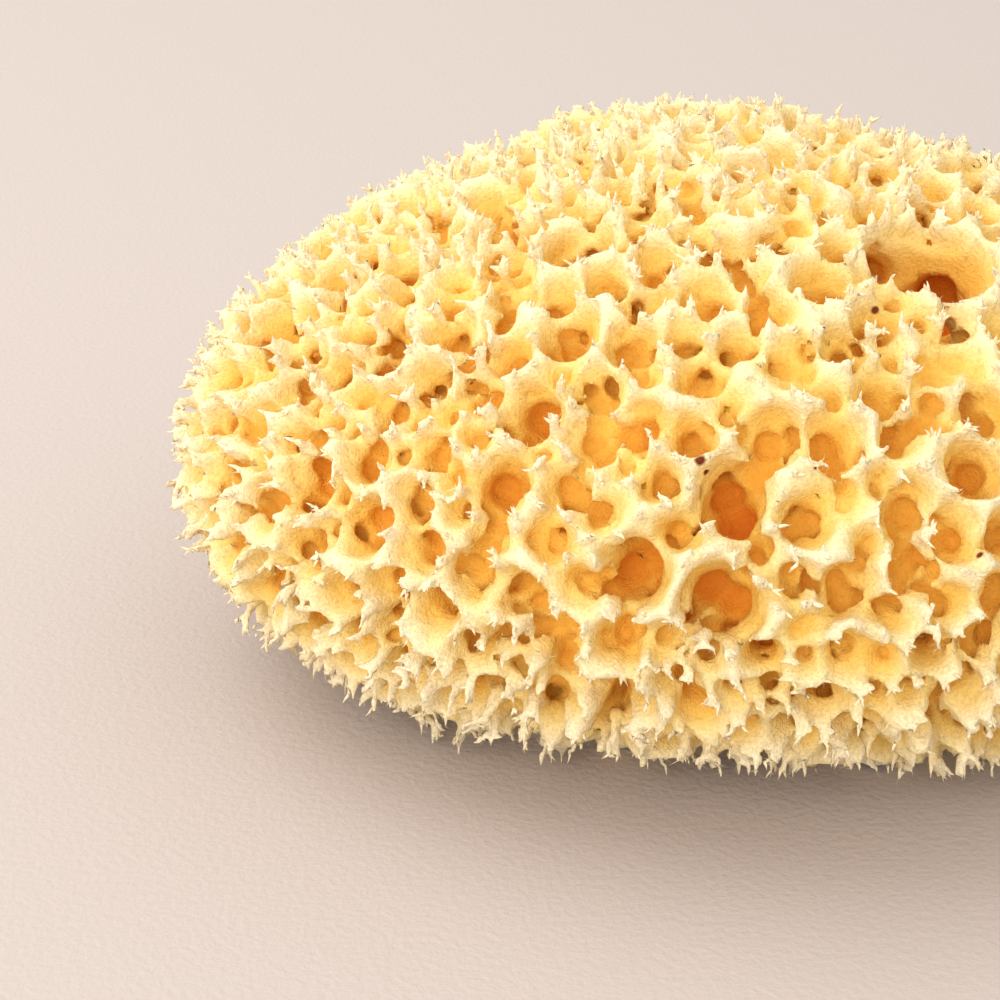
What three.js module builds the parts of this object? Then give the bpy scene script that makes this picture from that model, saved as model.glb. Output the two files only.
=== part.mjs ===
// A honeycomb bath sponge: one bun-shaped body, pitted all over by round pores, with a spiky
// tip wherever the walls of neighbouring pores meet. Millimetres, +Z up. The sponge lies on
// the flat cut it was harvested at, z = 0, and its long axis is X.
import * as THREE from "three";
import { ConvexHull } from "three/addons/math/ConvexHull.js";

// Size of the bun, and how high its middle stands above the flat cut.
const HALF_LENGTH = 70;
const HALF_WIDTH = 62;
const HALF_HEIGHT = 36;
const CORE_HEIGHT = 27;

// Broad lumps of the outer form: direction of travel, waves per radius, phase and height.
const LUMPS = [
  { along: [1, 0.3, 0.5], waves: 3.1, phase: 0.6, height: 1.3 },
  { along: [-0.4, 1, 0.7], waves: 4.3, phase: 2.2, height: 1.1 },
  { along: [0.6, -0.8, 1], waves: 5.7, phase: 4.0, height: 0.8 },
  { along: [0.9, 0.9, -0.6], waves: 7.9, phase: 1.1, height: 0.6 },
];

// Wall left between two pores, and the usual depth of a pore from its radius.
const WALL = 1.0;
const DEPTH_BASE = 3.5;
const DEPTH_PER_RADIUS = 1.6;

// Depths of the pores that look darker or paler than their width alone would make them.
const DEEP = 10;
const SHALLOW = 4;

// The wall between pores sinks away from its tips: sunk by SAG where a pore's circle runs,
// and less the further a spot lies outside every circle. A short wall stays straight.
const SAG = 7;
const SAG_REACH = 5;
const DEEPEST_WALL = 5;
const SHORTEST_SAGGING_WALL = 2.6;
const TIP_JITTER = 0.8;

// Pores this wide go straight down to a throat before their floor closes in.
const THROAT_FROM = 2.2;
const THROAT_WIDTH = 0.85;
const THROAT_DEPTH = 0.7;

// Pores of the flat cut, and the plain scar in its middle.
const SCAR_RADIUS = 7;
const CUT_MOUTH = 0.8;

// The pores that show best: azimuth from the front towards the right and elevation above
// the middle, in degrees, then radius, and depth where it isn't the usual one.
const CRATER = [32, 46, 7, 14];
const FRONT_PORES = [
  [-7, 17.5, 4.0, 12],
  [-16, 9, 3.6, 11],
  [-7, 6.4, 4.0, 11],
  [0.5, 15, 2.6],
  [-4, 11.7, 1.8],
  [4.2, 23, 2.9],
  [-3.2, 23.3, 3.0],
  [10.8, 28.5, 2.6],
  [11.5, 15.5, 2.6],
  [11.7, 10, 2.6],
  [16.1, 12.6, 2.4],
  [4.8, 8.2, 2.8],
  [19.5, 18.5, 2.9],
  [23.6, 24.6, 2.6],
  [21.5, 31, 3.6, SHALLOW],
  [-12, 30.5, 2.3],
  [-8, 26.5, 1.4],
  [-18.7, 24.1, 2.8],
  [-23.7, 21.9, 2.7],
  [-14.7, 18.2, 1.9],
  [8.5, 18.5, 1.4],
  [4.6, 17.5, 2.2, SHALLOW],
  [11.7, 23, 2.0],
  [-8.2, 34, 2.1],
  [0.3, 31.5, 3.1, SHALLOW],
  [8, 33.5, 2.3],
  [-22.8, 33.5, 2.4],
  [-20.5, 14.5, 1.6],
  [1, 4.5, 2.1, SHALLOW],
];
const LOWER_FRONT_PORES = [
  [-27.8, 4.5, 2.3],
  [-23.8, 0.3, 2.7],
  [-28.5, -1.5, 2.1],
  [-23, -5.5, 2.2],
  [-17.4, -7, 3.3, DEEP],
  [-11, -4, 2.1],
  [-2.8, 0.5, 1.8, DEEP],
  [-5.6, -5, 1.5],
  [-2, -4, 1.8],
  [3, -5.5, 2.7],
  [1.3, -12, 2.3, DEEP],
  [13.2, 1, 1.8, DEEP],
  [17, -5, 2.8],
  [8.6, -5, 1.5],
  [5.2, 1.2, 1.9],
  [14.5, 5.8, 1.8],
  [20.5, 6, 2.3],
  [8, -18, 1.8, DEEP],
  [-13, -14, 2.2, DEEP],
];
const TOP_PORES = [
  [43, 35, 3.6, DEEP],
  [14, 37.7, 2.2, DEEP],
  [-13, 41, 2.4],
  [-12.5, 49, 2.4],
  [-22, 59, 2.2],
  [21, 58, 2.9],
  [5, 56, 2.3, SHALLOW],
  [-31.5, 41, 2.1],
  [-32.5, 33, 3.0],
  [-47, 36, 2.3],
  [-62, 52, 2.2],
  [-104, 42, 2.5],
];
const LEFT_PORES = [
  [-24.6, 16.1, 2.2],
  [-32.1, 15.2, 3.2],
  [-37, 19.6, 1.6],
  [-32, 23.4, 3.4],
  [-39, 28.5, 2.1],
  [-47, 22.5, 2.3],
  [-41.5, 16, 2.1],
  [-41.3, 11, 2.3],
  [-45.8, 6.8, 2.9],
  [-56.7, 13.8, 2.2],
  [-36.5, 0, 2.3],
];
const VALLEY_PORES = [
  [-76, 31.5, 2.9],
  [-76, 25, 2.5],
  [-79, 37, 2.3],
];
const MAIN_PORES = [
  CRATER,
  ...FRONT_PORES,
  ...LOWER_FRONT_PORES,
  ...TOP_PORES,
  ...LEFT_PORES,
  ...VALLEY_PORES,
];

// Other pores fill the rest, the widest first: radius, and the most there may be.
const FILL = [
  { radius: 4.0, most: 30 },
  { radius: 3.4, most: 75 },
  { radius: 2.9, most: 120 },
  { radius: 2.4, most: 110 },
  { radius: 1.9, most: 76 },
];
const CANDIDATES = 12000;
const CANDIDATE_STRIDE = 7919;
const GOLDEN_ANGLE = Math.PI * (3 - Math.sqrt(5));

const RIGHT = new THREE.Vector3(1, 0, 0);
const UP = new THREE.Vector3(0, 0, 1);
const DOWN = new THREE.Vector3(0, 0, -1);

function direction(azimuth, elevation) {
  const a = THREE.MathUtils.degToRad(azimuth);
  const e = THREE.MathUtils.degToRad(elevation);
  return new THREE.Vector3(
    Math.sin(a) * Math.cos(e),
    -Math.cos(a) * Math.cos(e),
    Math.sin(e),
  );
}

// A repeatable number from 0 to 1 for each whole number.
function chance(n) {
  const x = Math.sin(n * 12.9898 + 4.1414) * 43758.5453;
  return x - Math.floor(x);
}

// Distance from the middle of the bun to its outer form, where the longest tips end.
function outerRadius(d) {
  const bun =
    1 / Math.hypot(d.x / HALF_LENGTH, d.y / HALF_WIDTH, d.z / HALF_HEIGHT);
  const lumps = LUMPS.reduce((sum, { along, waves, phase, height }) => {
    const travel = new THREE.Vector3(...along).normalize().dot(d);
    return sum + height * Math.sin(waves * travel + phase);
  }, 0);
  return bun + lumps;
}

// Distance from the middle to the plane of the flat cut.
function cutRadius(d) {
  return d.z < 0 ? CORE_HEIGHT / -d.z : Infinity;
}

function isOnCut(d) {
  return cutRadius(d) < outerRadius(d);
}

function surfacePoint(d) {
  return d.clone().multiplyScalar(Math.min(outerRadius(d), cutRadius(d)));
}

// The way out of the bun at a spot of its surface.
function outward(d) {
  if (isOnCut(d)) return DOWN.clone();
  return new THREE.Vector3(
    d.x / HALF_LENGTH ** 2,
    d.y / HALF_WIDTH ** 2,
    d.z / HALF_HEIGHT ** 2,
  ).normalize();
}

function usualDepth(radius) {
  return DEPTH_BASE + DEPTH_PER_RADIUS * radius;
}

function makePore(d, radius, depth = usualDepth(radius)) {
  const place = surfacePoint(d);
  return { d, place, radius, depth, angle: radius / place.length() };
}

// Points spread evenly over a sphere, in a shuffled order.
function candidate(i) {
  const n = (i * CANDIDATE_STRIDE) % CANDIDATES;
  const z = 1 - (2 * n + 1) / CANDIDATES;
  const r = Math.sqrt(1 - z * z);
  const turn = n * GOLDEN_ANGLE;
  return new THREE.Vector3(r * Math.cos(turn), r * Math.sin(turn), z);
}

function placePores() {
  const scar = makePore(DOWN, SCAR_RADIUS, 0);
  const pores = MAIN_PORES.map(([azimuth, elevation, radius, depth]) =>
    makePore(direction(azimuth, elevation), radius, depth),
  );
  pores.unshift(scar);
  for (const { radius, most } of FILL) {
    let left = most;
    for (let i = 0; i < CANDIDATES && left > 0; i++) {
      const d = candidate(i);
      const place = surfacePoint(d);
      const isClear = pores.every(
        (p) => p.place.distanceTo(place) > p.radius + radius + WALL,
      );
      if (!isClear) continue;
      pores.push(makePore(d, radius));
      left--;
    }
  }
  return pores;
}

// Sets each pore's corners: where its wall meets two others, in order round the pore. They
// come from the faces of the convex hull of the pore directions, each pushed out with its
// pore's width so that a wide pore takes more room than a narrow one.
function findCorners(pores) {
  const pushed = pores.map((p) =>
    p.d.clone().divideScalar(Math.cos(p.angle)),
  );
  const owner = new Map(pushed.map((point, i) => [point, pores[i]]));
  const hull = new ConvexHull().setFromPoints(pushed);
  for (const pore of pores) pore.corners = [];
  hull.faces.forEach((face, id) => {
    const corner = { id, d: face.normal.clone().normalize() };
    for (const side of [0, 1, 2]) {
      owner.get(face.getEdge(side).head().point).corners.push(corner);
    }
  });
  for (const pore of pores) {
    const isSteep = Math.abs(pore.d.z) > 0.9;
    const side = pore.d.clone().cross(isSteep ? RIGHT : UP).normalize();
    const across = pore.d.clone().cross(side);
    const turn = ({ d }) => Math.atan2(d.dot(across), d.dot(side));
    pore.corners.sort((a, b) => turn(a) - turn(b));
  }
}

// How far the wall's top lies below the outer form, at a spot outside the pore's circle.
function wallDepth(d, pore) {
  if (isOnCut(d)) return 0;
  const apart = surfacePoint(d).distanceTo(pore.place);
  const spare = apart * apart - pore.radius * pore.radius;
  return Math.min(DEEPEST_WALL, SAG * Math.exp(-spare / SAG_REACH));
}

function tipDepth(corner, pore) {
  if (isOnCut(corner.d)) return 0;
  return wallDepth(corner.d, pore) + TIP_JITTER * chance(corner.id);
}

// Whether the wall between two corners is long enough to sag, and off the flat cut.
function isSagging(corner, next) {
  if (isOnCut(corner.d) && isOnCut(next.d)) return false;
  const length = surfacePoint(corner.d).distanceTo(surfacePoint(next.d));
  return length > SHORTEST_SAGGING_WALL;
}

function buildSponge() {
  const pores = placePores();
  findCorners(pores);

  const positions = [];
  const indices = [];
  const shared = new Map();

  // A vertex under a spot of the surface, that far in along the given way out.
  function addVertex(d, depth, way = outward(d)) {
    const p = surfacePoint(d).addScaledVector(way, -depth);
    positions.push(p.x, p.y, Math.max(p.z, -CORE_HEIGHT));
    return positions.length / 3 - 1;
  }

  // A vertex that neighbouring pores share is made once.
  function sharedVertex(key, d, depth) {
    if (!shared.has(key)) shared.set(key, addVertex(d, depth));
    return shared.get(key);
  }

  // The top of a pore's wall, corner by corner: the tip there, and the sunk spot between
  // it and the next tip if the wall sags.
  function rimOf(pore) {
    return pore.corners.map((corner, i) => {
      const tip = sharedVertex(corner.id, corner.d, tipDepth(corner, pore));
      const next = pore.corners[(i + 1) % pore.corners.length];
      if (!isSagging(corner, next)) return [tip];
      const between = corner.d.clone().add(next.d).normalize();
      const ends = [corner.id, next.id].sort((a, b) => a - b).join(" ");
      return [tip, sharedVertex(ends, between, wallDepth(between, pore))];
    });
  }

  // A ring inside the pore, with one vertex towards each corner.
  function innerRing(pore, width, depth) {
    return pore.corners.map(({ d }) => {
      const share = Math.min(1, pore.angle / pore.d.angleTo(d)) * width;
      const spot = pore.d.clone().lerp(d, share).normalize();
      return addVertex(spot, depth, outward(pore.d));
    });
  }

  // The surface between a rim and an inner ring with one vertex for each corner.
  function joinRings(rim, ring) {
    ring.forEach((v, i) => {
      const nextTip = rim[(i + 1) % rim.length][0];
      const next = ring[(i + 1) % ring.length];
      const [tip, between = nextTip] = rim[i];
      indices.push(tip, between, v, between, next, v);
      if (between !== nextTip) indices.push(between, nextTip, next);
    });
  }

  function closeRing(ring, centre) {
    ring.forEach((v, i) => indices.push(v, ring[(i + 1) % ring.length], centre));
  }

  for (const pore of pores) {
    const rim = rimOf(pore);
    const centre = addVertex(pore.d, pore.depth);
    const isHole = pore.depth > 0;
    if (isHole && isOnCut(pore.d)) {
      const mouth = innerRing(pore, CUT_MOUTH, 0);
      joinRings(rim, mouth);
      closeRing(mouth, centre);
    } else if (isHole && pore.radius >= THROAT_FROM) {
      const throat = innerRing(pore, THROAT_WIDTH, pore.depth * THROAT_DEPTH);
      joinRings(rim, throat);
      closeRing(throat, centre);
    } else {
      closeRing(rim.flat(), centre);
    }
  }

  const geometry = new THREE.BufferGeometry();
  geometry.setAttribute(
    "position",
    new THREE.Float32BufferAttribute(positions, 3),
  );
  geometry.setIndex(indices);
  geometry.computeBoundingBox();
  const middle = geometry.boundingBox.getCenter(new THREE.Vector3());
  geometry.translate(-middle.x, -middle.y, CORE_HEIGHT);
  geometry.computeVertexNormals();
  return geometry;
}

const spongin = new THREE.MeshStandardMaterial({
  color: 0xeccb78,
  roughness: 0.95,
  metalness: 0,
  flatShading: true,
});

const sponge = new THREE.Mesh(buildSponge(), spongin);
sponge.name = "sponge";

const group = new THREE.Group();
group.add(sponge);

export default group;
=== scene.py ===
import math

import bpy
import numpy as np
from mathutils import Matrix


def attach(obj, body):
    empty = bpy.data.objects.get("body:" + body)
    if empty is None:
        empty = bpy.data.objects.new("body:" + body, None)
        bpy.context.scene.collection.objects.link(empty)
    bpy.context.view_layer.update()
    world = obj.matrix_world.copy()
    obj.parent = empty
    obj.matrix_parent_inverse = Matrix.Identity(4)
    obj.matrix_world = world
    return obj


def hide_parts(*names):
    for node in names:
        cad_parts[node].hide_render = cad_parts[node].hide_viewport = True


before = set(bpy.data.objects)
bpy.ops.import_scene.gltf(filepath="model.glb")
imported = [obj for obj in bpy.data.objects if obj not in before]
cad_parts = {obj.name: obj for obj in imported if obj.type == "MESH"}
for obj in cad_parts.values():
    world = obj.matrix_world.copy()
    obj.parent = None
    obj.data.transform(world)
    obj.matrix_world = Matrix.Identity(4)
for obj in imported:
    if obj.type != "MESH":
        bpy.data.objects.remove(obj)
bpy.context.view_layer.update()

import openvdb
from mathutils import Vector
from mathutils.kdtree import KDTree

# Size of the bun, and how high its middle stands above the flat cut.
HALF_AXES = np.array([0.070, 0.062, 0.036])
CORE_HEIGHT = 0.027

# The photo's view: where the camera stands, its tilt up from straight down, and half the
# width of what it sees, in degrees. The sensor's width is in millimetres.
CAMERA_PLACE = (-0.0297, -0.2649, CORE_HEIGHT + 0.1184)
CAMERA_TILT = 64
HALF_VIEW = 12
SENSOR_WIDTH = 36

# Broad lumps of the outer form: direction of travel, waves per radius, phase and height.
LUMPS = [
    ((1.0, 0.3, 0.5), 3.1, 0.6, 0.0013),
    ((-0.4, 1.0, 0.7), 4.3, 2.2, 0.0011),
    ((0.6, -0.8, 1.0), 5.7, 4.0, 0.0008),
    ((0.9, 0.9, -0.6), 7.9, 1.1, 0.0006),
]

# Wall left between two pores, and the usual depth of a pore from its radius.
WALL = 0.0010
FINE_WALL = 0.0006
DEPTH_BASE = 0.0035
DEPTH_PER_RADIUS = 1.6
DEEP = 0.010
SHALLOW = 0.004
SCAR_RADIUS = 0.007

# The pores that show best: azimuth from the front towards the right and elevation above
# the middle, in degrees, then radius, and depth where it isn't the usual one.
CRATER = (32, 46, 0.0070, 0.014)
FRONT_PORES = [
    (-7, 17.5, 0.0040, 0.012),
    (-16, 9, 0.0036, 0.011),
    (-7, 6.4, 0.0040, 0.011),
    (0.5, 15, 0.0026),
    (-4, 11.7, 0.0018),
    (4.2, 23, 0.0029),
    (-3.2, 23.3, 0.0030),
    (10.8, 28.5, 0.0026),
    (11.5, 15.5, 0.0026),
    (11.7, 10, 0.0026),
    (16.1, 12.6, 0.0024),
    (4.8, 8.2, 0.0028),
    (19.5, 18.5, 0.0029),
    (23.6, 24.6, 0.0026),
    (21.5, 31, 0.0036, SHALLOW),
    (-12, 30.5, 0.0023),
    (-8, 26.5, 0.0014),
    (-18.7, 24.1, 0.0028),
    (-23.7, 21.9, 0.0027),
    (-14.7, 18.2, 0.0019),
    (8.5, 18.5, 0.0014),
    (4.6, 17.5, 0.0022, SHALLOW),
    (11.7, 23, 0.0020),
    (-8.2, 34, 0.0021),
    (0.3, 31.5, 0.0031, SHALLOW),
    (8, 33.5, 0.0023),
    (-22.8, 33.5, 0.0024),
    (-20.5, 14.5, 0.0016),
    (1, 4.5, 0.0021, SHALLOW),
]
LOWER_FRONT_PORES = [
    (-27.8, 4.5, 0.0023),
    (-23.8, 0.3, 0.0027),
    (-28.5, -1.5, 0.0021),
    (-23, -5.5, 0.0022),
    (-17.4, -7, 0.0033, DEEP),
    (-11, -4, 0.0021),
    (-2.8, 0.5, 0.0018, DEEP),
    (-5.6, -5, 0.0015),
    (-2, -4, 0.0018),
    (3, -5.5, 0.0027),
    (1.3, -12, 0.0023, DEEP),
    (13.2, 1, 0.0018, DEEP),
    (17, -5, 0.0028),
    (8.6, -5, 0.0015),
    (5.2, 1.2, 0.0019),
    (14.5, 5.8, 0.0018),
    (20.5, 6, 0.0023),
    (8, -18, 0.0018, DEEP),
    (-13, -14, 0.0022, DEEP),
]
TOP_PORES = [
    (43, 35, 0.0036, DEEP),
    (14, 37.7, 0.0022, DEEP),
    (-13, 41, 0.0024),
    (-12.5, 49, 0.0024),
    (-22, 59, 0.0022),
    (21, 58, 0.0029),
    (5, 56, 0.0023, SHALLOW),
    (-31.5, 41, 0.0021),
    (-32.5, 33, 0.0030),
    (-47, 36, 0.0023),
    (-62, 52, 0.0022),
    (-104, 42, 0.0025),
]
LEFT_PORES = [
    (-24.6, 16.1, 0.0022),
    (-32.1, 15.2, 0.0032),
    (-37, 19.6, 0.0016),
    (-32, 23.4, 0.0034),
    (-39, 28.5, 0.0021),
    (-47, 22.5, 0.0023),
    (-41.5, 16, 0.0021),
    (-41.3, 11, 0.0023),
    (-45.8, 6.8, 0.0029),
    (-56.7, 13.8, 0.0022),
    (-36.5, 0, 0.0023),
]
VALLEY_PORES = [
    (-76, 31.5, 0.0029),
    (-76, 25, 0.0025),
    (-79, 37, 0.0023),
]
MAIN_PORES = [
    CRATER,
    *FRONT_PORES,
    *LOWER_FRONT_PORES,
    *TOP_PORES,
    *LEFT_PORES,
    *VALLEY_PORES,
]

# Other pores fill the rest, the widest first: radius, the most there may be, and the wall.
FILL = [
    (0.0040, 30, WALL),
    (0.0034, 75, WALL),
    (0.0029, 120, WALL),
    (0.0024, 110, WALL),
    (0.0019, 76, WALL),
    (0.0024, 400, FINE_WALL),
    (0.0018, 500, FINE_WALL),
    (0.0013, 600, FINE_WALL),
]
CANDIDATES = 12000
CANDIDATE_STRIDE = 7919
GOLDEN_ANGLE = math.pi * (3 - math.sqrt(5))

# The wall between pores sinks away from its tips: sunk by SAG where a pore's circle runs,
# never by more than SAG_FLOOR, and less the further a spot lies outside every circle.
# SAG_REACH is an area. A pore shallower than FULL_SAG_DEPTH sinks its walls less.
SAG = 0.0042
SAG_REACH = 3.4e-6
SAG_FLOOR = 0.0034
SAG_BAND = 0.0030
SAG_MIDDLE = 0.003
SAG_HALF_HEIGHT = 0.006
SAG_BOTTOM = 0.012
FULL_SAG_DEPTH = 0.008

# A pit's rounding, how wide and tall it is beside its pore's radius, and its share of the
# pore's width and depth. A pore on the flat cut is a little narrower.
PIT_POWER = 2.6
PIT_WIDE = 0.93
PIT_TALL = 1.12
PIT_REACH = 1.15
PIT_SHARE = 0.80
PIT_WIDTH = 0.96
CUT_MOUTH = 0.90
CARVE_MARGIN = 0.002

# Two joined balls hollow out a pit's floor: their depth as a share of the pore's, their
# shift aside and their sizes as shares of its radius.
CHAMBER_DEPTH = 0.76
CHAMBER_SHIFT = 0.38
CHAMBER_SIZE = (0.46, 0.62)
SECOND_CHAMBER_SIZE = (0.34, 0.52)

# Side holes in a pit: one, and another each in medium and wide pores. Then the turn from
# one to the next, and their place and size as shares of the pore's radius and depth.
MEDIUM_PORE = 0.0024
WIDE_PORE = 0.0034
SIDE_TURN = (1.7, 2.6)
SIDE_SHIFT = 0.80
SIDE_SIZE = (0.30, 0.42)
SIDE_DEPTH = (0.45, 0.75)

# Windows between pores that lie nearer than WINDOW_GAP, where both are wide enough.
WINDOW_GAP = 0.0018
WINDOW_CHANCE = 0.62
WINDOW_PORE = 0.0015
WINDOW_SIZE = (0.0010, 0.0019)
WINDOW_DEPTH = (0.0044, 0.0064)

# Grid spacing, and the room round the bun that the grid covers. Where the surface is
# even, its faces are joined, the more the higher EVENNESS is.
SPACING = 0.00062
EVENNESS = 0.2
MARGIN = 0.0035

# Smooth noise that bends the pores out of round: wavelength and height.
WARPS = [(0.0065, 0.00055), (0.0026, 0.00030)]
GRAIN_LENGTH = 0.0011
GRAIN_HEIGHT = 0.00016

# Noise that tears the wall tops into a jagged edge: wavelength and height. TEAR_SHARE of
# each height comes off everywhere.
TEARS = [(0.0017, 0.00085), (0.0040, 0.00050)]
TEAR_SHARE = 0.45

# Stems stand this far apart, where the pores leave this much room and above the lowest
# height. Each splits into a fan of blunt fingers, and all are blended into the body.
STEM_SPACING = 0.0024
STEM_CANDIDATES = 40000
STEM_ROOM = 0.0005
LOWEST_STEM = 0.002
STEM_ROOT = 0.0036
STEM_RADII = (0.00085, 0.00050)
FAN_ANGLE = 0.62
FAN_UNEVENNESS = 0.2
FINGER_ROOT = 0.0017
FINGER_LENGTH = (0.0013, 0.0025)
FINGER_RADII = (0.00046, 0.00027)
BLEND = 0.00025

# Below DROOP_HEIGHT the fingers hang, by up to DROOP. Below LOW_HEIGHT they are longer too.
DROOP_HEIGHT = 0.034
DROOP = 0.95
LOW_HEIGHT = 0.026
LOW_LENGTHENING = 0.9

# The frayed points at a finger's end.
TUFT_LEAN = 0.32
TUFT_ROOT = 0.0006
TUFT_SPREAD = 0.00014
TUFT_LENGTH = (0.0007, 0.0014)
TUFT_RADIUS = (0.00015, 0.00027)
TUFT_BEND = 0.00018
TUFT_HOLD = 0.0007
TUFT_BLUNTNESS = 0.5

# The fine fibres on the outer ridges, down to FIBRE_DEPTH.
FIBRES = 16000
FIBRE_DEPTH = 0.0032
LOWEST_FIBRE = 0.0015
FIBRE_ROOT = 0.0001
FIBRE_LEAN = 0.7
FIBRE_LENGTH = (0.0004, 0.0012)
FIBRE_RADIUS = (0.000025, 0.00005)
FIBRE_BEND = 0.00024
FIBRE_BLUNTNESS = 0.8

# A spot's colour comes from its depth, up to the deepest colour, and from the share of
# solid near it, from fully open to fully shut in. The weights add up to 1. The share of
# solid paints shade: the more shut in a spot, the more painted shade it gets, and open
# ridges and tips stay pale as a painted highlight. Depth paints colour that is partly the
# fibre's own and partly painted light scattered deep inside.
DEEPEST_COLOUR = 0.012
OPEN_SHARE = 0.16
SHUT_SHARE = 0.60
CROWDING_REACH = 0.0016
DEPTH_WEIGHT = 0.55
PAINTED_SHADE_WEIGHT = 0.45

# Screen colours, 0 to 255, by tone from the tips to far inside: partly the fibre's own
# colour and partly painted light, with cream for the painted glow and highlight of thin tips
# and golden to orange for painted shade and light scattered in the hollows.
FIBRE_AND_PAINTED_LIGHT_COLOURS = [
    (0.00, (244, 227, 188)),
    (0.16, (243, 220, 164)),
    (0.32, (241, 209, 132)),
    (0.50, (239, 196, 100)),
    (0.70, (236, 178, 72)),
    (0.86, (232, 156, 50)),
    (1.00, (224, 124, 34)),
]
SPECK_COLOUR = (112, 48, 18)
FLOOR_COLOUR = (188, 176, 169)

# Noise scales are in waves per metre. Flecks fade from the tips inward.
PATCH_SCALE = 160
PATCH_STRENGTH = 0.22
FELT_SCALE = 2400
FLECK_STRENGTH = 0.95
FLECK_FADE = 0.9
FLECK_MIDDLE = 0.97
FELT_HEIGHT = 0.00028
PLASTER_SCALE = 1100
PLASTER_HEIGHT = 0.0005
HALF_FLOOR = 3.0

# Tiny brown grains caught in the fibre: where the photo shows them, and their radius.
SPECKS = [
    (700, 460, 0.00075),
    (706, 472, 0.00045),
    (817, 468, 0.00040),
    (875, 310, 0.00060),
    (980, 555, 0.00055),
]

SEED = 27
FACES_PER_PIECE = 190000


def direction(azimuth, elevation):
    a = math.radians(azimuth)
    e = math.radians(elevation)
    return np.array([math.sin(a) * math.cos(e), -math.cos(a) * math.cos(e), math.sin(e)])


def outer_radius(d):
    """Distance from the middle of the bun to its outer form, along unit directions d."""
    reach = 1 / np.sqrt(sum((d[k] / HALF_AXES[k]) ** 2 for k in range(3)))
    for along, waves, phase, height in LUMPS:
        along = np.array(along) / np.linalg.norm(along)
        travel = sum(along[k] * d[k] for k in range(3))
        reach = reach + height * np.sin(waves * travel + phase)
    return reach


def surface_points(directions):
    """Where unit directions, one a row, meet the outer form or the flat cut."""
    reach = outer_radius(directions.T)
    down = np.maximum(-directions[:, 2], 1e-9)
    cut = np.where(directions[:, 2] < 0, CORE_HEIGHT / down, np.inf)
    return directions * np.minimum(reach, cut)[:, None], cut < reach


def outward(directions, on_cut):
    normals = directions / HALF_AXES**2
    normals /= np.linalg.norm(normals, axis=1)[:, None]
    normals[on_cut] = (0, 0, -1)
    return normals


def candidate_directions(count, stride=1):
    """Unit directions spread evenly over a sphere, in a shuffled order."""
    n = (np.arange(count) * stride) % count
    z = 1 - (2 * n + 1) / count
    r = np.sqrt(1 - z * z)
    turn = n * GOLDEN_ANGLE
    return np.stack([r * np.cos(turn), r * np.sin(turn), z], axis=1)


def place_pores():
    """Pores as a dict of arrays: place, way out, radius, depth and whether on the cut."""
    directions = [np.array([0.0, 0.0, -1.0])]
    radii = [SCAR_RADIUS]
    depths = [0.0]
    for azimuth, elevation, radius, *depth in MAIN_PORES:
        directions.append(direction(azimuth, elevation))
        radii.append(radius)
        depths.append(depth[0] if depth else DEPTH_BASE + DEPTH_PER_RADIUS * radius)
    candidates = candidate_directions(CANDIDATES, CANDIDATE_STRIDE)
    spots, _ = surface_points(candidates)
    places, _ = surface_points(np.array(directions))
    spare = np.full(CANDIDATES, np.inf)
    for place, radius in zip(places, radii):
        spare = np.minimum(spare, np.linalg.norm(spots - place, axis=1) - radius)
    for radius, most, wall in FILL:
        for _ in range(most):
            free = np.flatnonzero(spare > radius + wall)
            if len(free) == 0:
                break
            pick = free[0]
            directions.append(candidates[pick])
            radii.append(radius)
            depths.append(DEPTH_BASE + DEPTH_PER_RADIUS * radius)
            away = np.linalg.norm(spots - spots[pick], axis=1) - radius
            spare = np.minimum(spare, away)
    directions = np.array(directions)
    places, on_cut = surface_points(directions)
    return {
        "place": places + (0, 0, CORE_HEIGHT),
        "way": outward(directions, on_cut),
        "radius": np.array(radii),
        "depth": np.array(depths),
        "on_cut": on_cut,
    }


def stretch_matrix(fine, coarse):
    """Weights that turn coarse samples into fine ones, smoothly."""
    at = np.linspace(0, coarse - 1.001, fine)
    low = at.astype(int)
    part = at - low
    part = part * part * (3 - 2 * part)
    weights = np.zeros((fine, coarse), np.float32)
    weights[np.arange(fine), low] = 1 - part
    weights[np.arange(fine), low + 1] = part
    return weights


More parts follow.
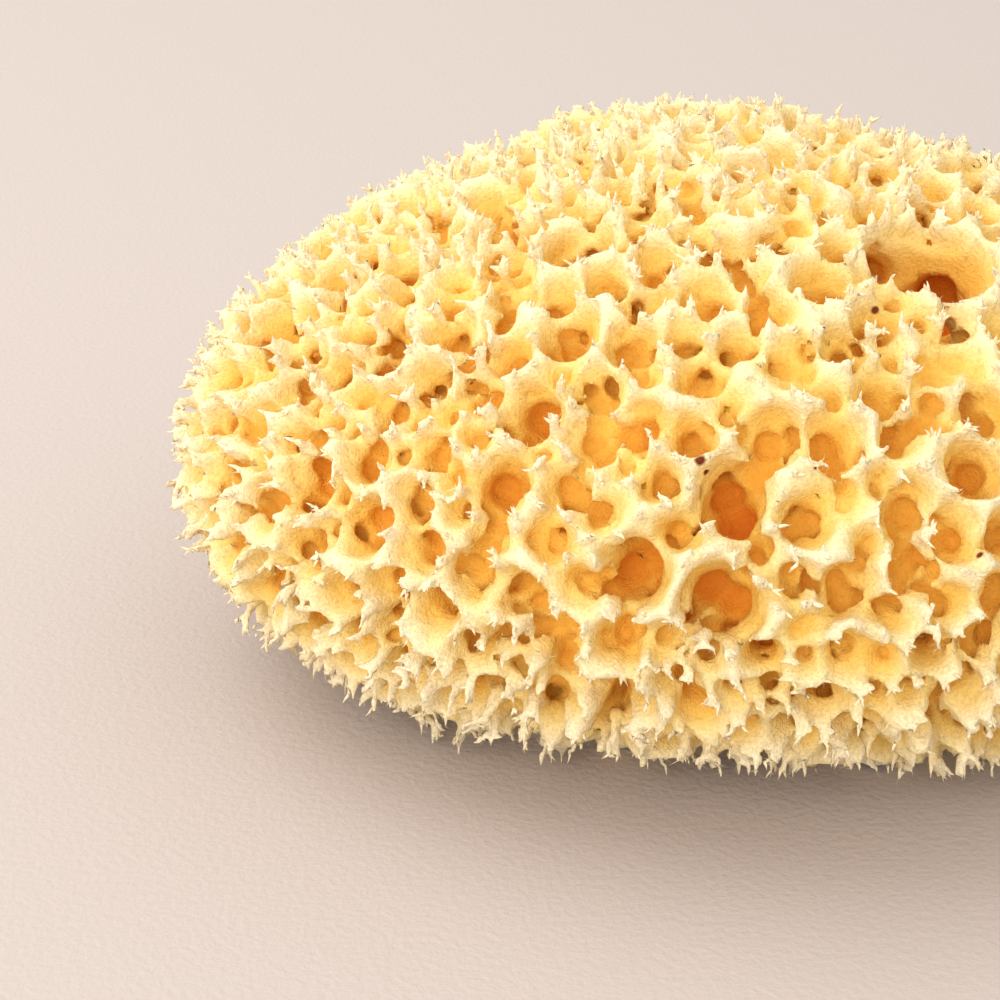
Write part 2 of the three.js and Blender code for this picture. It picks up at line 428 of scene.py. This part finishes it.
class Field:
    """The grid: its coordinates, the field on it, and ways to add to and carve the field."""

    def __init__(self):
        reach = HALF_AXES + MARGIN
        self.low = np.array([-reach[0], -reach[1], -MARGIN])
        high = np.array([reach[0], reach[1], CORE_HEIGHT + reach[2]])
        self.shape = np.ceil((high - self.low) / SPACING).astype(int)
        self.random = np.random.default_rng(SEED)
        axes = [self.low[k] + SPACING * np.arange(self.shape[k]) for k in range(3)]
        self.axes = [a.astype(np.float32) for a in axes]

    def noise(self, wavelength):
        coarse = np.ceil(self.shape * SPACING / wavelength).astype(int) + 2
        values = self.random.uniform(-1, 1, coarse).astype(np.float32)
        for k in range(3):
            weights = stretch_matrix(self.shape[k], coarse[k])
            values = np.moveaxis(np.tensordot(weights, values, (1, k)), 0, k)
        return values

    def warped_axes(self):
        x, y, z = np.meshgrid(*self.axes, indexing="ij")
        coordinates = [x, y, z]
        for wavelength, height in WARPS:
            for k in range(3):
                coordinates[k] = coordinates[k] + height * self.noise(wavelength)
        self.warped = coordinates

    def measure_depth(self):
        """How far every grid point lies under the outer form."""
        x, y, z = np.meshgrid(*self.axes, indexing="ij", sparse=True)
        z = z - CORE_HEIGHT
        distance = np.sqrt(x * x + y * y + z * z) + 1e-6
        d = [x / distance, y / distance, z / distance]
        slope = sum((d[k] / HALF_AXES[k]) ** 2 for k in range(3))
        steep = np.sqrt(sum((d[k] / HALF_AXES[k] ** 2) ** 2 for k in range(3)))
        self.depth = ((outer_radius(d) - distance) * slope / steep).astype(np.float32)

    def block(self, centre, reach):
        """The grid's index ranges within reach of a point."""
        low = np.floor((centre - reach - self.low) / SPACING).astype(int)
        high = np.ceil((centre + reach - self.low) / SPACING).astype(int) + 1
        low = np.clip(low, 0, self.shape)
        high = np.clip(high, 0, self.shape)
        return tuple(slice(a, b) for a, b in zip(low, high))

    def offsets(self, block, centre):
        return [self.warped[k][block] - np.float32(centre[k]) for k in range(3)]


def split_offset(offset, way):
    """How far points lie in along a way out, and how far to its side."""
    along = sum(offset[k] * np.float32(way[k]) for k in range(3))
    square = sum(offset[k] * offset[k] for k in range(3)) - along * along
    return -along, np.sqrt(np.maximum(square, 0))


def sag_walls(field, pores):
    """How deep the top of the wall lies, at every grid point."""
    sunk = np.zeros(field.shape, np.float32)
    for i in np.flatnonzero(~pores["on_cut"] & (pores["depth"] > 0)):
        radius = pores["radius"][i]
        centre = pores["place"][i] - SAG_MIDDLE * pores["way"][i]
        block = field.block(centre, math.hypot(radius + SAG_BAND, SAG_HALF_HEIGHT))
        into, aside = split_offset(field.offsets(block, pores["place"][i]), pores["way"][i])
        top = SAG * np.exp(-(aside * aside - radius * radius) / SAG_REACH)
        shrink = min(1.0, pores["depth"][i] / FULL_SAG_DEPTH)
        top = np.minimum(top, SAG_FLOOR) * shrink
        sunk[block] = np.maximum(sunk[block], np.where(into < SAG_BOTTOM, top, 0))
    return sunk


def carve_pit(solid, field, place, way, radius, depth):
    """Hollows out one rounded pit, a little taller than it is wide."""
    centre = place - 0.5 * depth * way
    block = field.block(centre, math.hypot(0.5 * depth, PIT_REACH * radius) + CARVE_MARGIN)
    offset = field.offsets(block, place)
    side, across = side_ways(way)
    into = -sum(offset[k] * np.float32(way[k]) for k in range(3))
    level = sum(offset[k] * np.float32(side[k]) for k in range(3)) / (PIT_WIDE * radius)
    upright = sum(offset[k] * np.float32(across[k]) for k in range(3)) / (PIT_TALL * radius)
    into = np.maximum(into, 0) / depth
    aside = np.sqrt(level * level + upright * upright)
    outside = ((into**PIT_POWER + aside**PIT_POWER) ** (1 / PIT_POWER) - 1) * radius
    solid[block] = np.minimum(solid[block], outside)


def carve_ball(solid, field, centre, radius):
    block = field.block(centre, radius + CARVE_MARGIN)
    offset = field.offsets(block, centre)
    outside = np.sqrt(sum(o * o for o in offset)) - radius
    solid[block] = np.minimum(solid[block], outside)


def side_ways(way):
    """Two unit vectors across a way out."""
    helper = np.array([1.0, 0, 0]) if abs(way[2]) > 0.9 else np.array([0, 0, 1.0])
    side = np.cross(way, helper)
    side /= np.linalg.norm(side)
    return side, np.cross(way, side)


def carve_pores(solid, field, pores):
    """Pits, each with a chamber at its floor and round side holes that lead on inward."""
    random = np.random.default_rng(SEED + 1)
    for i in range(len(pores["radius"])):
        depth = pores["depth"][i]
        if depth == 0:
            continue
        place = pores["place"][i]
        way = pores["way"][i]
        radius = pores["radius"][i]
        width = CUT_MOUTH if pores["on_cut"][i] else PIT_WIDTH
        carve_pit(solid, field, place, way, width * radius, PIT_SHARE * depth)
        side, across = side_ways(way)
        turn = random.uniform(0, 2 * math.pi)
        beside = CHAMBER_SHIFT * radius * (math.cos(turn) * side + math.sin(turn) * across)
        bottom = place - way * (CHAMBER_DEPTH * depth)
        carve_ball(solid, field, bottom + beside, radius * random.uniform(*CHAMBER_SIZE))
        carve_ball(solid, field, bottom - beside, radius * random.uniform(*SECOND_CHAMBER_SIZE))
        for _ in range(1 + (radius > MEDIUM_PORE) + (radius > WIDE_PORE)):
            turn += random.uniform(*SIDE_TURN)
            toward = math.cos(turn) * side + math.sin(turn) * across
            size = radius * random.uniform(*SIDE_SIZE)
            sunk = way * depth * random.uniform(*SIDE_DEPTH)
            inner = place + toward * (SIDE_SHIFT * radius) - sunk
            carve_ball(solid, field, inner, size)
            carve_ball(solid, field, inner + (toward - 0.6 * way) * size, 1.05 * size)


def carve_windows(solid, field, pores):
    """Round holes through the walls between neighbouring pores, well under their tops."""
    random = np.random.default_rng(SEED + 2)
    places = pores["place"]
    radii = pores["radius"]
    for i in range(1, len(radii)):
        apart = np.linalg.norm(places[i + 1:] - places[i], axis=1)
        near = np.flatnonzero(apart < radii[i] + radii[i + 1:] + WINDOW_GAP) + i + 1
        for j in near:
            if random.uniform() > WINDOW_CHANCE or min(radii[i], radii[j]) < WINDOW_PORE:
                continue
            way = pores["way"][i] + pores["way"][j]
            way /= np.linalg.norm(way)
            share = radii[i] / (radii[i] + radii[j])
            middle = places[i] + share * (places[j] - places[i])
            size = random.uniform(*WINDOW_SIZE)
            deep = random.uniform(*WINDOW_DEPTH)
            carve_ball(solid, field, middle - deep * way, size)


def fuse_cone(solid, field, base, tip, base_radius, tip_radius):
    """Adds a round cone, blended softly into what it stands on."""
    centre = (base + tip) / 2
    block = field.block(centre, np.linalg.norm(tip - base) / 2 + base_radius + 0.001)
    offset = field.offsets(block, base)
    line = tip - base
    length = np.linalg.norm(line)
    along = sum(offset[k] * np.float32(line[k]) for k in range(3)) / length**2
    along = np.clip(along, 0, 1)
    square = sum((offset[k] - along * np.float32(line[k])) ** 2 for k in range(3))
    inside = base_radius + (tip_radius - base_radius) * along - np.sqrt(square)
    mix = np.clip(0.5 + 0.5 * (inside - solid[block]) / BLEND, 0, 1)
    solid[block] = solid[block] * (1 - mix) + inside * mix + BLEND * mix * (1 - mix)


def find_tips(pores):
    """Spots between the pores, the roomiest first, where the wall's tips stand."""
    candidates = candidate_directions(STEM_CANDIDATES)
    spots, on_cut = surface_points(candidates)
    spots = spots + (0, 0, CORE_HEIGHT)
    ways = outward(candidates, on_cut)
    room = np.full(len(spots), np.inf)
    for place, radius in zip(pores["place"], pores["radius"]):
        room = np.minimum(room, np.linalg.norm(spots - place, axis=1) - radius)
    order = np.argsort(-room)
    usable = (room > STEM_ROOM) & ~on_cut & (spots[:, 2] > LOWEST_STEM)
    chosen = []
    blocked = np.zeros(len(spots), bool)
    for k in order:
        if not usable[k] or blocked[k]:
            continue
        chosen.append(k)
        blocked |= np.linalg.norm(spots - spots[k], axis=1) < STEM_SPACING
    return spots[chosen], ways[chosen]


def droop(way, height):
    """The way a tip points: outward, and more downward the lower it stands."""
    low = np.clip((DROOP_HEIGHT - height) / DROOP_HEIGHT, 0, 1)
    bent = way + np.array([0, 0, -DROOP]) * low
    return bent / np.linalg.norm(bent)


def raise_tips(solid, field, tips):
    """Stems fused into the body, each split into a flat fan of blunt fingers.

    Gives the end of every finger and the way it points."""
    random = np.random.default_rng(SEED + 3)
    ends = []
    aims = []
    for spot, way in zip(*tips):
        lean = droop(way, spot[2])
        side, across = side_ways(lean)
        turn = random.uniform(0, 2 * math.pi)
        fan = math.cos(turn) * side + math.sin(turn) * across
        root = spot - FINGER_ROOT * way
        fuse_cone(solid, field, spot - STEM_ROOT * way, root, *STEM_RADII)
        low = np.clip((LOW_HEIGHT - spot[2]) / LOW_HEIGHT, 0, 1)
        count = random.integers(2, 5)
        uneven = random.uniform(-FAN_UNEVENNESS, FAN_UNEVENNESS, count)
        for angle in np.linspace(-FAN_ANGLE, FAN_ANGLE, count) + uneven:
            aim = math.cos(angle) * lean + math.sin(angle) * fan
            end = root + aim * random.uniform(*FINGER_LENGTH) * (1 + LOW_LENGTHENING * low)
            fuse_cone(solid, field, root, end, *FINGER_RADII)
            ends.append(end)
            aims.append(aim)
    return np.array(ends), np.array(aims)


def build_field():
    """The finished field, and the ends and ways of its fingers."""
    pores = place_pores()
    tips = find_tips(pores)
    field = Field()
    field.warped_axes()
    field.measure_depth()
    solid = field.depth - sag_walls(field, pores)
    for wavelength, height in TEARS:
        solid -= height * (TEAR_SHARE + field.noise(wavelength))
    carve_pores(solid, field, pores)
    carve_windows(solid, field, pores)
    fingers = raise_tips(solid, field, tips)
    solid += GRAIN_HEIGHT * field.noise(GRAIN_LENGTH)
    solid = np.minimum(solid, field.axes[2][None, None, :])
    field.solid = solid
    # Share of solid round each point, which paints shade into the colour of hollows.
    half = max(1, round(CROWDING_REACH / SPACING))
    field.crowding = box_blur(box_blur((solid > 0).astype(np.float32), half), half)
    return field, fingers


def box_blur(values, half):
    """Means over boxes that reach half grid steps each way along all three axes."""
    for k in range(3):
        padding = [(half + 1, half) if n == k else (0, 0) for n in range(3)]
        sums = np.cumsum(np.pad(values, padding), axis=k, dtype=np.float32)
        low = np.arange(values.shape[k])
        high = low + 2 * half + 1
        values = (np.take(sums, high, axis=k) - np.take(sums, low, axis=k)) / (2 * half + 1)
    return values


def tones_with_painted_shade(field, points):
    """How far each point's colour lies from cream, 0 at the tips, to orange, 1 far in. Partly
    the fibre's own colour, partly painted shade in hollows and painted light scattered inside.
    """
    deep = np.clip(sample(field.depth, field, points) / DEEPEST_COLOUR, 0, 1)
    share = sample(field.crowding, field, points)
    # Painted shade: the more solid round a spot, the further its colour moves towards orange.
    painted_shade = np.clip((share - OPEN_SHARE) / (SHUT_SHARE - OPEN_SHARE), 0, 1)
    return DEPTH_WEIGHT * deep + PAINTED_SHADE_WEIGHT * painted_shade


def slope_normals(field, points):
    """Unit normals of the surface, from the way the field falls off."""
    slopes = np.gradient(field.solid)
    normals = -np.stack([sample(g, field, points) for g in slopes], axis=1)
    return normals / (np.linalg.norm(normals, axis=1)[:, None] + 1e-12)


def sample(values, field, points):
    """Values of a grid at points, by straight mixing of the eight nearest."""
    at = (points - field.low) / SPACING
    low = np.clip(at.astype(int), 0, field.shape - 2)
    part = at - low
    mixed = np.zeros(len(points))
    for corner in np.ndindex(2, 2, 2):
        weight = np.ones(len(points))
        for k in range(3):
            weight *= part[:, k] if corner[k] else 1 - part[:, k]
        mixed += weight * values[tuple((low + corner).T)]
    return mixed


def field_surface(field):
    """Points and triangles of the field's surface."""
    grid = openvdb.FloatGrid(1.0)
    grid.copyFromArray(-field.solid / SPACING)
    points, triangles, quads = grid.convertToPolygons(isovalue=0.0, adaptivity=EVENNESS)
    faces = np.concatenate([triangles, quads[:, [0, 1, 2]], quads[:, [0, 2, 3]]])
    return points.astype(float) * SPACING + field.low, faces.astype(int)


def largest_part(points, faces):
    """Drops islands that hang on nothing, by spreading labels along the edges."""
    label = np.arange(len(points))
    edges = np.concatenate([faces[:, [0, 1]], faces[:, [1, 2]]])
    while True:
        low = np.minimum(label[edges[:, 0]], label[edges[:, 1]])
        before = label.copy()
        np.minimum.at(label, edges[:, 0], low)
        np.minimum.at(label, edges[:, 1], low)
        label = label[label]
        if np.array_equal(before, label):
            break
    kept = np.bincount(label).argmax()
    keep_point = label == kept
    renumber = np.cumsum(keep_point) - 1
    return points[keep_point], renumber[faces[keep_point[faces[:, 0]]]]


def mesh_object(name, points, faces, material):
    mesh = bpy.data.meshes.new(name)
    sides = faces.shape[1]
    mesh.vertices.add(len(points))
    mesh.vertices.foreach_set("co", points.astype(np.float32).ravel())
    mesh.loops.add(faces.size)
    mesh.loops.foreach_set("vertex_index", faces.astype(np.int32).ravel())
    mesh.polygons.add(len(faces))
    mesh.polygons.foreach_set("loop_start", np.arange(0, faces.size, sides, dtype=np.int32))
    mesh.polygons.foreach_set("use_smooth", np.ones(len(faces), bool))
    mesh.update(calc_edges=True)
    mesh.materials.append(material)
    piece = bpy.data.objects.new(name, mesh)
    bpy.context.scene.collection.objects.link(piece)
    return piece


def add_values(piece, name, values):
    attribute = piece.data.attributes.new(name, "FLOAT", "POINT")
    attribute.data.foreach_set("value", values.astype(np.float32))


def sound_normals(smooth, points, faces):
    """Smooth normals, or those of the faces where thin fingers leave the smooth ones wrong."""
    a, b, c = (points[faces[:, k]] for k in range(3))
    flat = np.cross(b - a, c - a)
    met = np.zeros_like(points)
    for k in range(3):
        for axis in range(3):
            met[:, axis] += np.bincount(faces[:, k], flat[:, axis], len(points))
    met /= np.linalg.norm(met, axis=1)[:, None] + 1e-20
    agreement = (smooth * met).sum(axis=1)
    return np.where(agreement[:, None] > 0.6, smooth, met)


def near_body(points, spots, reach):
    """Which spots have a point of the body within reach."""
    tree = KDTree(len(points))
    for n, point in enumerate(points):
        tree.insert(point, n)
    tree.balance()
    return np.array([tree.find(spot)[2] < reach for spot in spots])


def make_body(field, material):
    """The body, parted into sectors round the middle so that no piece is too large.

    Gives the pieces, and the points and normals of the whole."""
    points, faces = largest_part(*field_surface(field))
    normals = sound_normals(slope_normals(field, points), points, faces)
    # Colour tone, partly the fibre's own colour and partly painted shade and painted light, kept as a
    # point value.
    tone_with_painted_shade = tones_with_painted_shade(field, points)
    middles = points[faces].mean(axis=1)
    turn = np.arctan2(middles[:, 1], middles[:, 0])
    order = np.argsort(turn, kind="stable")
    sectors = math.ceil(len(faces) / FACES_PER_PIECE)
    pieces = []
    for n, chosen in enumerate(np.array_split(order, sectors)):
        used, corners = np.unique(faces[chosen], return_inverse=True)
        corners = corners.reshape(-1, 3)
        piece = mesh_object(f"sponge_body_{n + 1}", points[used], corners, material)
        piece.data.normals_split_custom_set_from_vertices(normals[used])
        add_values(piece, "tone_with_painted_shade", tone_with_painted_shade[used])
        pieces.append(piece)
    return pieces, points, normals


def cones(bases, ways, lengths, radii, sides, rings, bend, bluntness):
    """Points and faces of many bent cones at once. A low bluntness keeps them thick."""
    count = len(bases)
    helper = np.where(np.abs(ways[:, 2:]) > 0.9, [[1.0, 0, 0]], [[0, 0, 1.0]])
    side = np.cross(ways, helper)
    side /= np.linalg.norm(side, axis=1)[:, None]
    across = np.cross(ways, side)
    levels = []
    for r in range(rings):
        t = r / rings
        width = radii * (1 - t) ** bluntness
        centre = bases + ways * (lengths * t)[:, None] + bend * (t * t)
        for s in range(sides):
            angle = 2 * math.pi * s / sides
            around = math.cos(angle) * side + math.sin(angle) * across
            levels.append(centre + around * width[:, None])
    levels.append(bases + ways * lengths[:, None] + bend)
    points = np.stack(levels, axis=1)
    faces = []
    for r in range(rings - 1):
        for s in range(sides):
            a = r * sides + s
            b = r * sides + (s + 1) % sides
            faces += [(a, b, b + sides), (a, b + sides, a + sides)]
    last = (rings - 1) * sides
    for s in range(sides):
        faces.append((last + s, last + (s + 1) % sides, rings * sides))
    faces = np.array(faces)
    starts = np.arange(count) * points.shape[1]
    all_faces = (faces[None] + starts[:, None, None]).reshape(-1, 3)
    return points.reshape(-1, 3), all_faces


def make_tufts(field, fingers, body_points, material):
    """Each finger frays into a few thin blunt points that lean apart."""
    random = np.random.default_rng(SEED + 4)
    ends, aims = fingers
    owner = np.repeat(np.arange(len(ends)), random.integers(1, 4, len(ends)))
    total = len(owner)
    leans = aims[owner] + random.normal(0, TUFT_LEAN, (total, 3))
    leans /= np.linalg.norm(leans, axis=1)[:, None]
    bases = ends[owner] - TUFT_ROOT * aims[owner] + random.normal(0, TUFT_SPREAD, (total, 3))
    lengths = random.uniform(*TUFT_LENGTH, total)
    radii = random.uniform(*TUFT_RADIUS, total)
    bend = random.normal(0, TUFT_BEND, (total, 3))
    held = (sample(field.solid, field, bases) > 0) & near_body(body_points, bases, TUFT_HOLD)
    points, faces = cones(
        bases[held], leans[held], lengths[held], radii[held],
        sides=4, rings=2, bend=bend[held], bluntness=TUFT_BLUNTNESS,
    )
    points[:, 2] = np.maximum(points[:, 2], 0)
    piece = mesh_object("sponge_tufts", points, faces, material)
    # Colour tone with painted shade and painted light, as for the body.
    add_values(piece, "tone_with_painted_shade", tones_with_painted_shade(field, points))
    return piece


def make_fibres(field, points, normals, material):
    """Fine fibres all over the outer ridges."""
    random = np.random.default_rng(SEED + 5)
    depth = sample(field.depth, field, points)
    outer = np.flatnonzero((depth < FIBRE_DEPTH) & (points[:, 2] > LOWEST_FIBRE))
    chosen = random.choice(outer, min(FIBRES, len(outer)), replace=False)
    bases = points[chosen] - FIBRE_ROOT * normals[chosen]
    leans = normals[chosen] + random.normal(0, FIBRE_LEAN, (len(chosen), 3))
    leans /= np.linalg.norm(leans, axis=1)[:, None]
    lengths = random.uniform(*FIBRE_LENGTH, len(chosen))
    radii = random.uniform(*FIBRE_RADIUS, len(chosen))
    bend = random.normal(0, FIBRE_BEND, (len(chosen), 3))
    made, faces = cones(
        bases, leans, lengths, radii, sides=3, rings=2, bend=bend, bluntness=FIBRE_BLUNTNESS
    )
    piece = mesh_object("sponge_fibres", made, faces, material)
    # Colour tone with painted shade and painted light, as for the body.
    add_values(piece, "tone_with_painted_shade", tones_with_painted_shade(field, made))
    return piece


def seen_point(field, x, y):
    """The spot on the surface that the camera shows at a pixel of the 1000 x 1000 view."""
    half_width = math.tan(math.radians(HALF_VIEW))
    right = (x - 500) / 500 * half_width
    up = (500 - y) / 500 * half_width
    tilt = math.radians(CAMERA_TILT)
    ahead = np.array([right, math.sin(tilt) + up * math.cos(tilt), up * math.sin(tilt) - math.cos(tilt)])
    ahead /= np.linalg.norm(ahead)
    steps = np.arange(0.15, 0.40, 0.0001)
    line = np.array(CAMERA_PLACE) + steps[:, None] * ahead
    inside = np.all((line > field.low) & (line < field.low + (field.shape - 1) * SPACING), axis=1)
    line = line[inside]
    met = np.flatnonzero(sample(field.solid, field, line) > 0)
    return line[met[0]]


def new_material(name):
    material = bpy.data.materials.new(name)
    material.use_nodes = True
    nodes = material.node_tree.nodes
    nodes.clear()
    shader = nodes.new("ShaderNodeBsdfPrincipled")
    output = nodes.new("ShaderNodeOutputMaterial")
    material.node_tree.links.new(shader.outputs["BSDF"], output.inputs["Surface"])
    return material, shader


def linear(r, g, b):
    """A screen colour, 0 to 255, as a linear one."""
    def convert(value):
        value /= 255
        return value / 12.92 if value <= 0.04045 else ((value + 0.055) / 1.055) ** 2.4
    return (convert(r), convert(g), convert(b), 1.0)


def calculate(tree, operation, first, second):
    """A maths node. Its two inputs are sockets or numbers."""
    node = tree.nodes.new("ShaderNodeMath")
    node.operation = operation
    for socket, value in zip(node.inputs, (first, second)):
        if isinstance(value, (int, float)):
            socket.default_value = value
        else:
            tree.links.new(value, socket)
    return node.outputs["Value"]


def noise_node(tree, place, scale, detail, roughness=0.5):
    node = tree.nodes.new("ShaderNodeTexNoise")
    node.inputs["Scale"].default_value = scale
    node.inputs["Detail"].default_value = detail
    node.inputs["Roughness"].default_value = roughness
    tree.links.new(place, node.inputs["Vector"])
    return node.outputs["Fac"]


def colour_ramp(tree, value, stops):
    node = tree.nodes.new("ShaderNodeValToRGB")
    elements = node.color_ramp.elements
    elements[0].position, elements[0].color = stops[0]
    elements[1].position, elements[1].color = stops[-1]
    for position, colour in stops[1:-1]:
        elements.new(position).color = colour
    tree.links.new(value, node.inputs["Fac"])
    return node.outputs["Color"]


def add_specks(tree, place, colour, specks):
    """Stains the colour brown round each speck's spot."""
    for spot, radius in specks:
        apart = tree.nodes.new("ShaderNodeVectorMath")
        apart.operation = "DISTANCE"
        apart.inputs[1].default_value = spot
        tree.links.new(place, apart.inputs[0])
        near = tree.nodes.new("ShaderNodeMapRange")
        near.inputs["From Min"].default_value = radius
        near.inputs["From Max"].default_value = 0.55 * radius
        tree.links.new(apart.outputs["Value"], near.inputs["Value"])
        mix = tree.nodes.new("ShaderNodeMix")
        mix.data_type = "RGBA"
        mix.inputs["B"].default_value = linear(*SPECK_COLOUR)
        tree.links.new(near.outputs["Result"], mix.inputs["Factor"])
        tree.links.new(colour, mix.inputs["A"])
        colour = mix.outputs["Result"]
    return colour


def spongin_material(specks):
    """Pale dry fibre with painted light: cream at the tips as a painted glow of light through
    thin fibre, golden down the walls and orange far in as painted shade and scattered light,
    partly also the fibre's own colour.
    """
    material, shader = new_material("spongin")
    tree = material.node_tree
    place = tree.nodes.new("ShaderNodeTexCoord").outputs["Object"]
    tone_with_painted_shade = tree.nodes.new("ShaderNodeAttribute")
    tone_with_painted_shade.attribute_name = "tone_with_painted_shade"
    tone_with_painted_shade = tone_with_painted_shade.outputs["Fac"]

    patches = calculate(tree, "SUBTRACT", noise_node(tree, place, PATCH_SCALE, 1), 0.5)
    patches = calculate(tree, "MULTIPLY", patches, PATCH_STRENGTH)
    # The ramp paints light into the colour: pale tips as a painted glow and highlight, golden to orange
    # hollows as painted shade.
    stops = [(position, linear(*colour)) for position, colour in FIBRE_AND_PAINTED_LIGHT_COLOURS]
    colour = colour_ramp(tree, calculate(tree, "ADD", tone_with_painted_shade, patches), stops)

    fibres = noise_node(tree, place, FELT_SCALE, 2, 0.7)
    flecks = calculate(tree, "SUBTRACT", fibres, 0.5)
    fade = calculate(tree, "MULTIPLY", tone_with_painted_shade, FLECK_FADE)
    strength = calculate(tree, "SUBTRACT", FLECK_STRENGTH, fade)
    flecks = calculate(tree, "MULTIPLY", flecks, strength)
    speckled = tree.nodes.new("ShaderNodeVectorMath")
    speckled.operation = "SCALE"
    tree.links.new(colour, speckled.inputs[0])
    tree.links.new(calculate(tree, "ADD", flecks, FLECK_MIDDLE), speckled.inputs["Scale"])
    stained = add_specks(tree, place, speckled.outputs["Vector"], specks)
    tree.links.new(stained, shader.inputs["Base Color"])

    add_bump(tree, shader, fibres, 0.9, FELT_HEIGHT)
    shader.inputs["Roughness"].default_value = 0.85
    shader.inputs["Specular IOR Level"].default_value = 0.2
    return material


def add_bump(tree, shader, height, strength, distance):
    bump = tree.nodes.new("ShaderNodeBump")
    bump.inputs["Strength"].default_value = strength
    bump.inputs["Distance"].default_value = distance
    tree.links.new(height, bump.inputs["Height"])
    tree.links.new(bump.outputs["Normal"], shader.inputs["Normal"])


def floor_material():
    """Fine matte plaster, a slightly pink off-white."""
    material, shader = new_material("plaster")
    tree = material.node_tree
    place = tree.nodes.new("ShaderNodeTexCoord").outputs["Object"]
    add_bump(tree, shader, noise_node(tree, place, PLASTER_SCALE, 5), 0.35, PLASTER_HEIGHT)
    shader.inputs["Base Color"].default_value = linear(*FLOOR_COLOUR)
    shader.inputs["Roughness"].default_value = 0.9
    return material


def make_floor():
    size = HALF_FLOOR
    points = np.array([(-size, -size, 0), (size, -size, 0), (size, size, 0), (-size, size, 0)])
    floor = mesh_object("floor", points, np.array([[0, 1, 2, 3]]), floor_material())


def area_light(name, place, aim, size, watts, colour):
    data = bpy.data.lights.new(name, "AREA")
    data.shape = "DISK"
    data.size = size
    data.energy = watts
    data.color = colour
    lamp = bpy.data.objects.new(name, data)
    lamp.location = place
    lamp.rotation_euler = (Vector(aim) - Vector(place)).to_track_quat("-Z", "Y").to_euler()
    bpy.context.scene.collection.objects.link(lamp)


def light_scene():
    """Soft light from the back left, a fill from the front left, and an even surround."""
    area_light(
        "window", place=(-0.55, 0.20, 0.80), aim=(0, 0, 0.03),
        size=0.9, watts=5.0, colour=(1.0, 0.985, 0.96),
    )
    area_light(
        "fill", place=(-0.38, -0.78, 0.40), aim=(0, 0, 0.02),
        size=0.9, watts=5.0, colour=(1.0, 0.98, 0.95),
    )
    world = bpy.data.worlds.new("studio")
    world.use_nodes = True
    background = world.node_tree.nodes["Background"]
    background.inputs["Color"].default_value = (1.0, 0.985, 0.965, 1.0)
    background.inputs["Strength"].default_value = 1.1
    bpy.context.scene.world = world
    bpy.context.scene.view_settings.view_transform = "Standard"


def make_camera():
    """The view of the photo: 24 degrees wide, looking 26 degrees down."""
    data = bpy.data.cameras.new("camera")
    data.sensor_width = SENSOR_WIDTH
    data.lens = data.sensor_width / 2 / math.tan(math.radians(HALF_VIEW))
    camera = bpy.data.objects.new("camera", data)
    camera.location = CAMERA_PLACE
    camera.rotation_euler = (math.radians(CAMERA_TILT), 0, 0)
    bpy.context.scene.collection.objects.link(camera)
    bpy.context.scene.camera = camera


def main():
    make_camera()
    light_scene()
    make_floor()
    field, fingers = build_field()
    specks = [(seen_point(field, x, y), radius) for x, y, radius in SPECKS]
    spongin = spongin_material(specks)
    body, points, normals = make_body(field, spongin)
    tufts = make_tufts(field, fingers, points, spongin)
    fibres = make_fibres(field, points, normals, spongin)
    pieces = [*body, tufts, fibres]
    for piece in pieces:
        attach(piece, "root")
        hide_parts("sponge")
    counts = [len(piece.data.polygons) for piece in pieces]
    print("TRIANGLES most in a piece", max(counts), "in all", sum(counts), counts)


main()
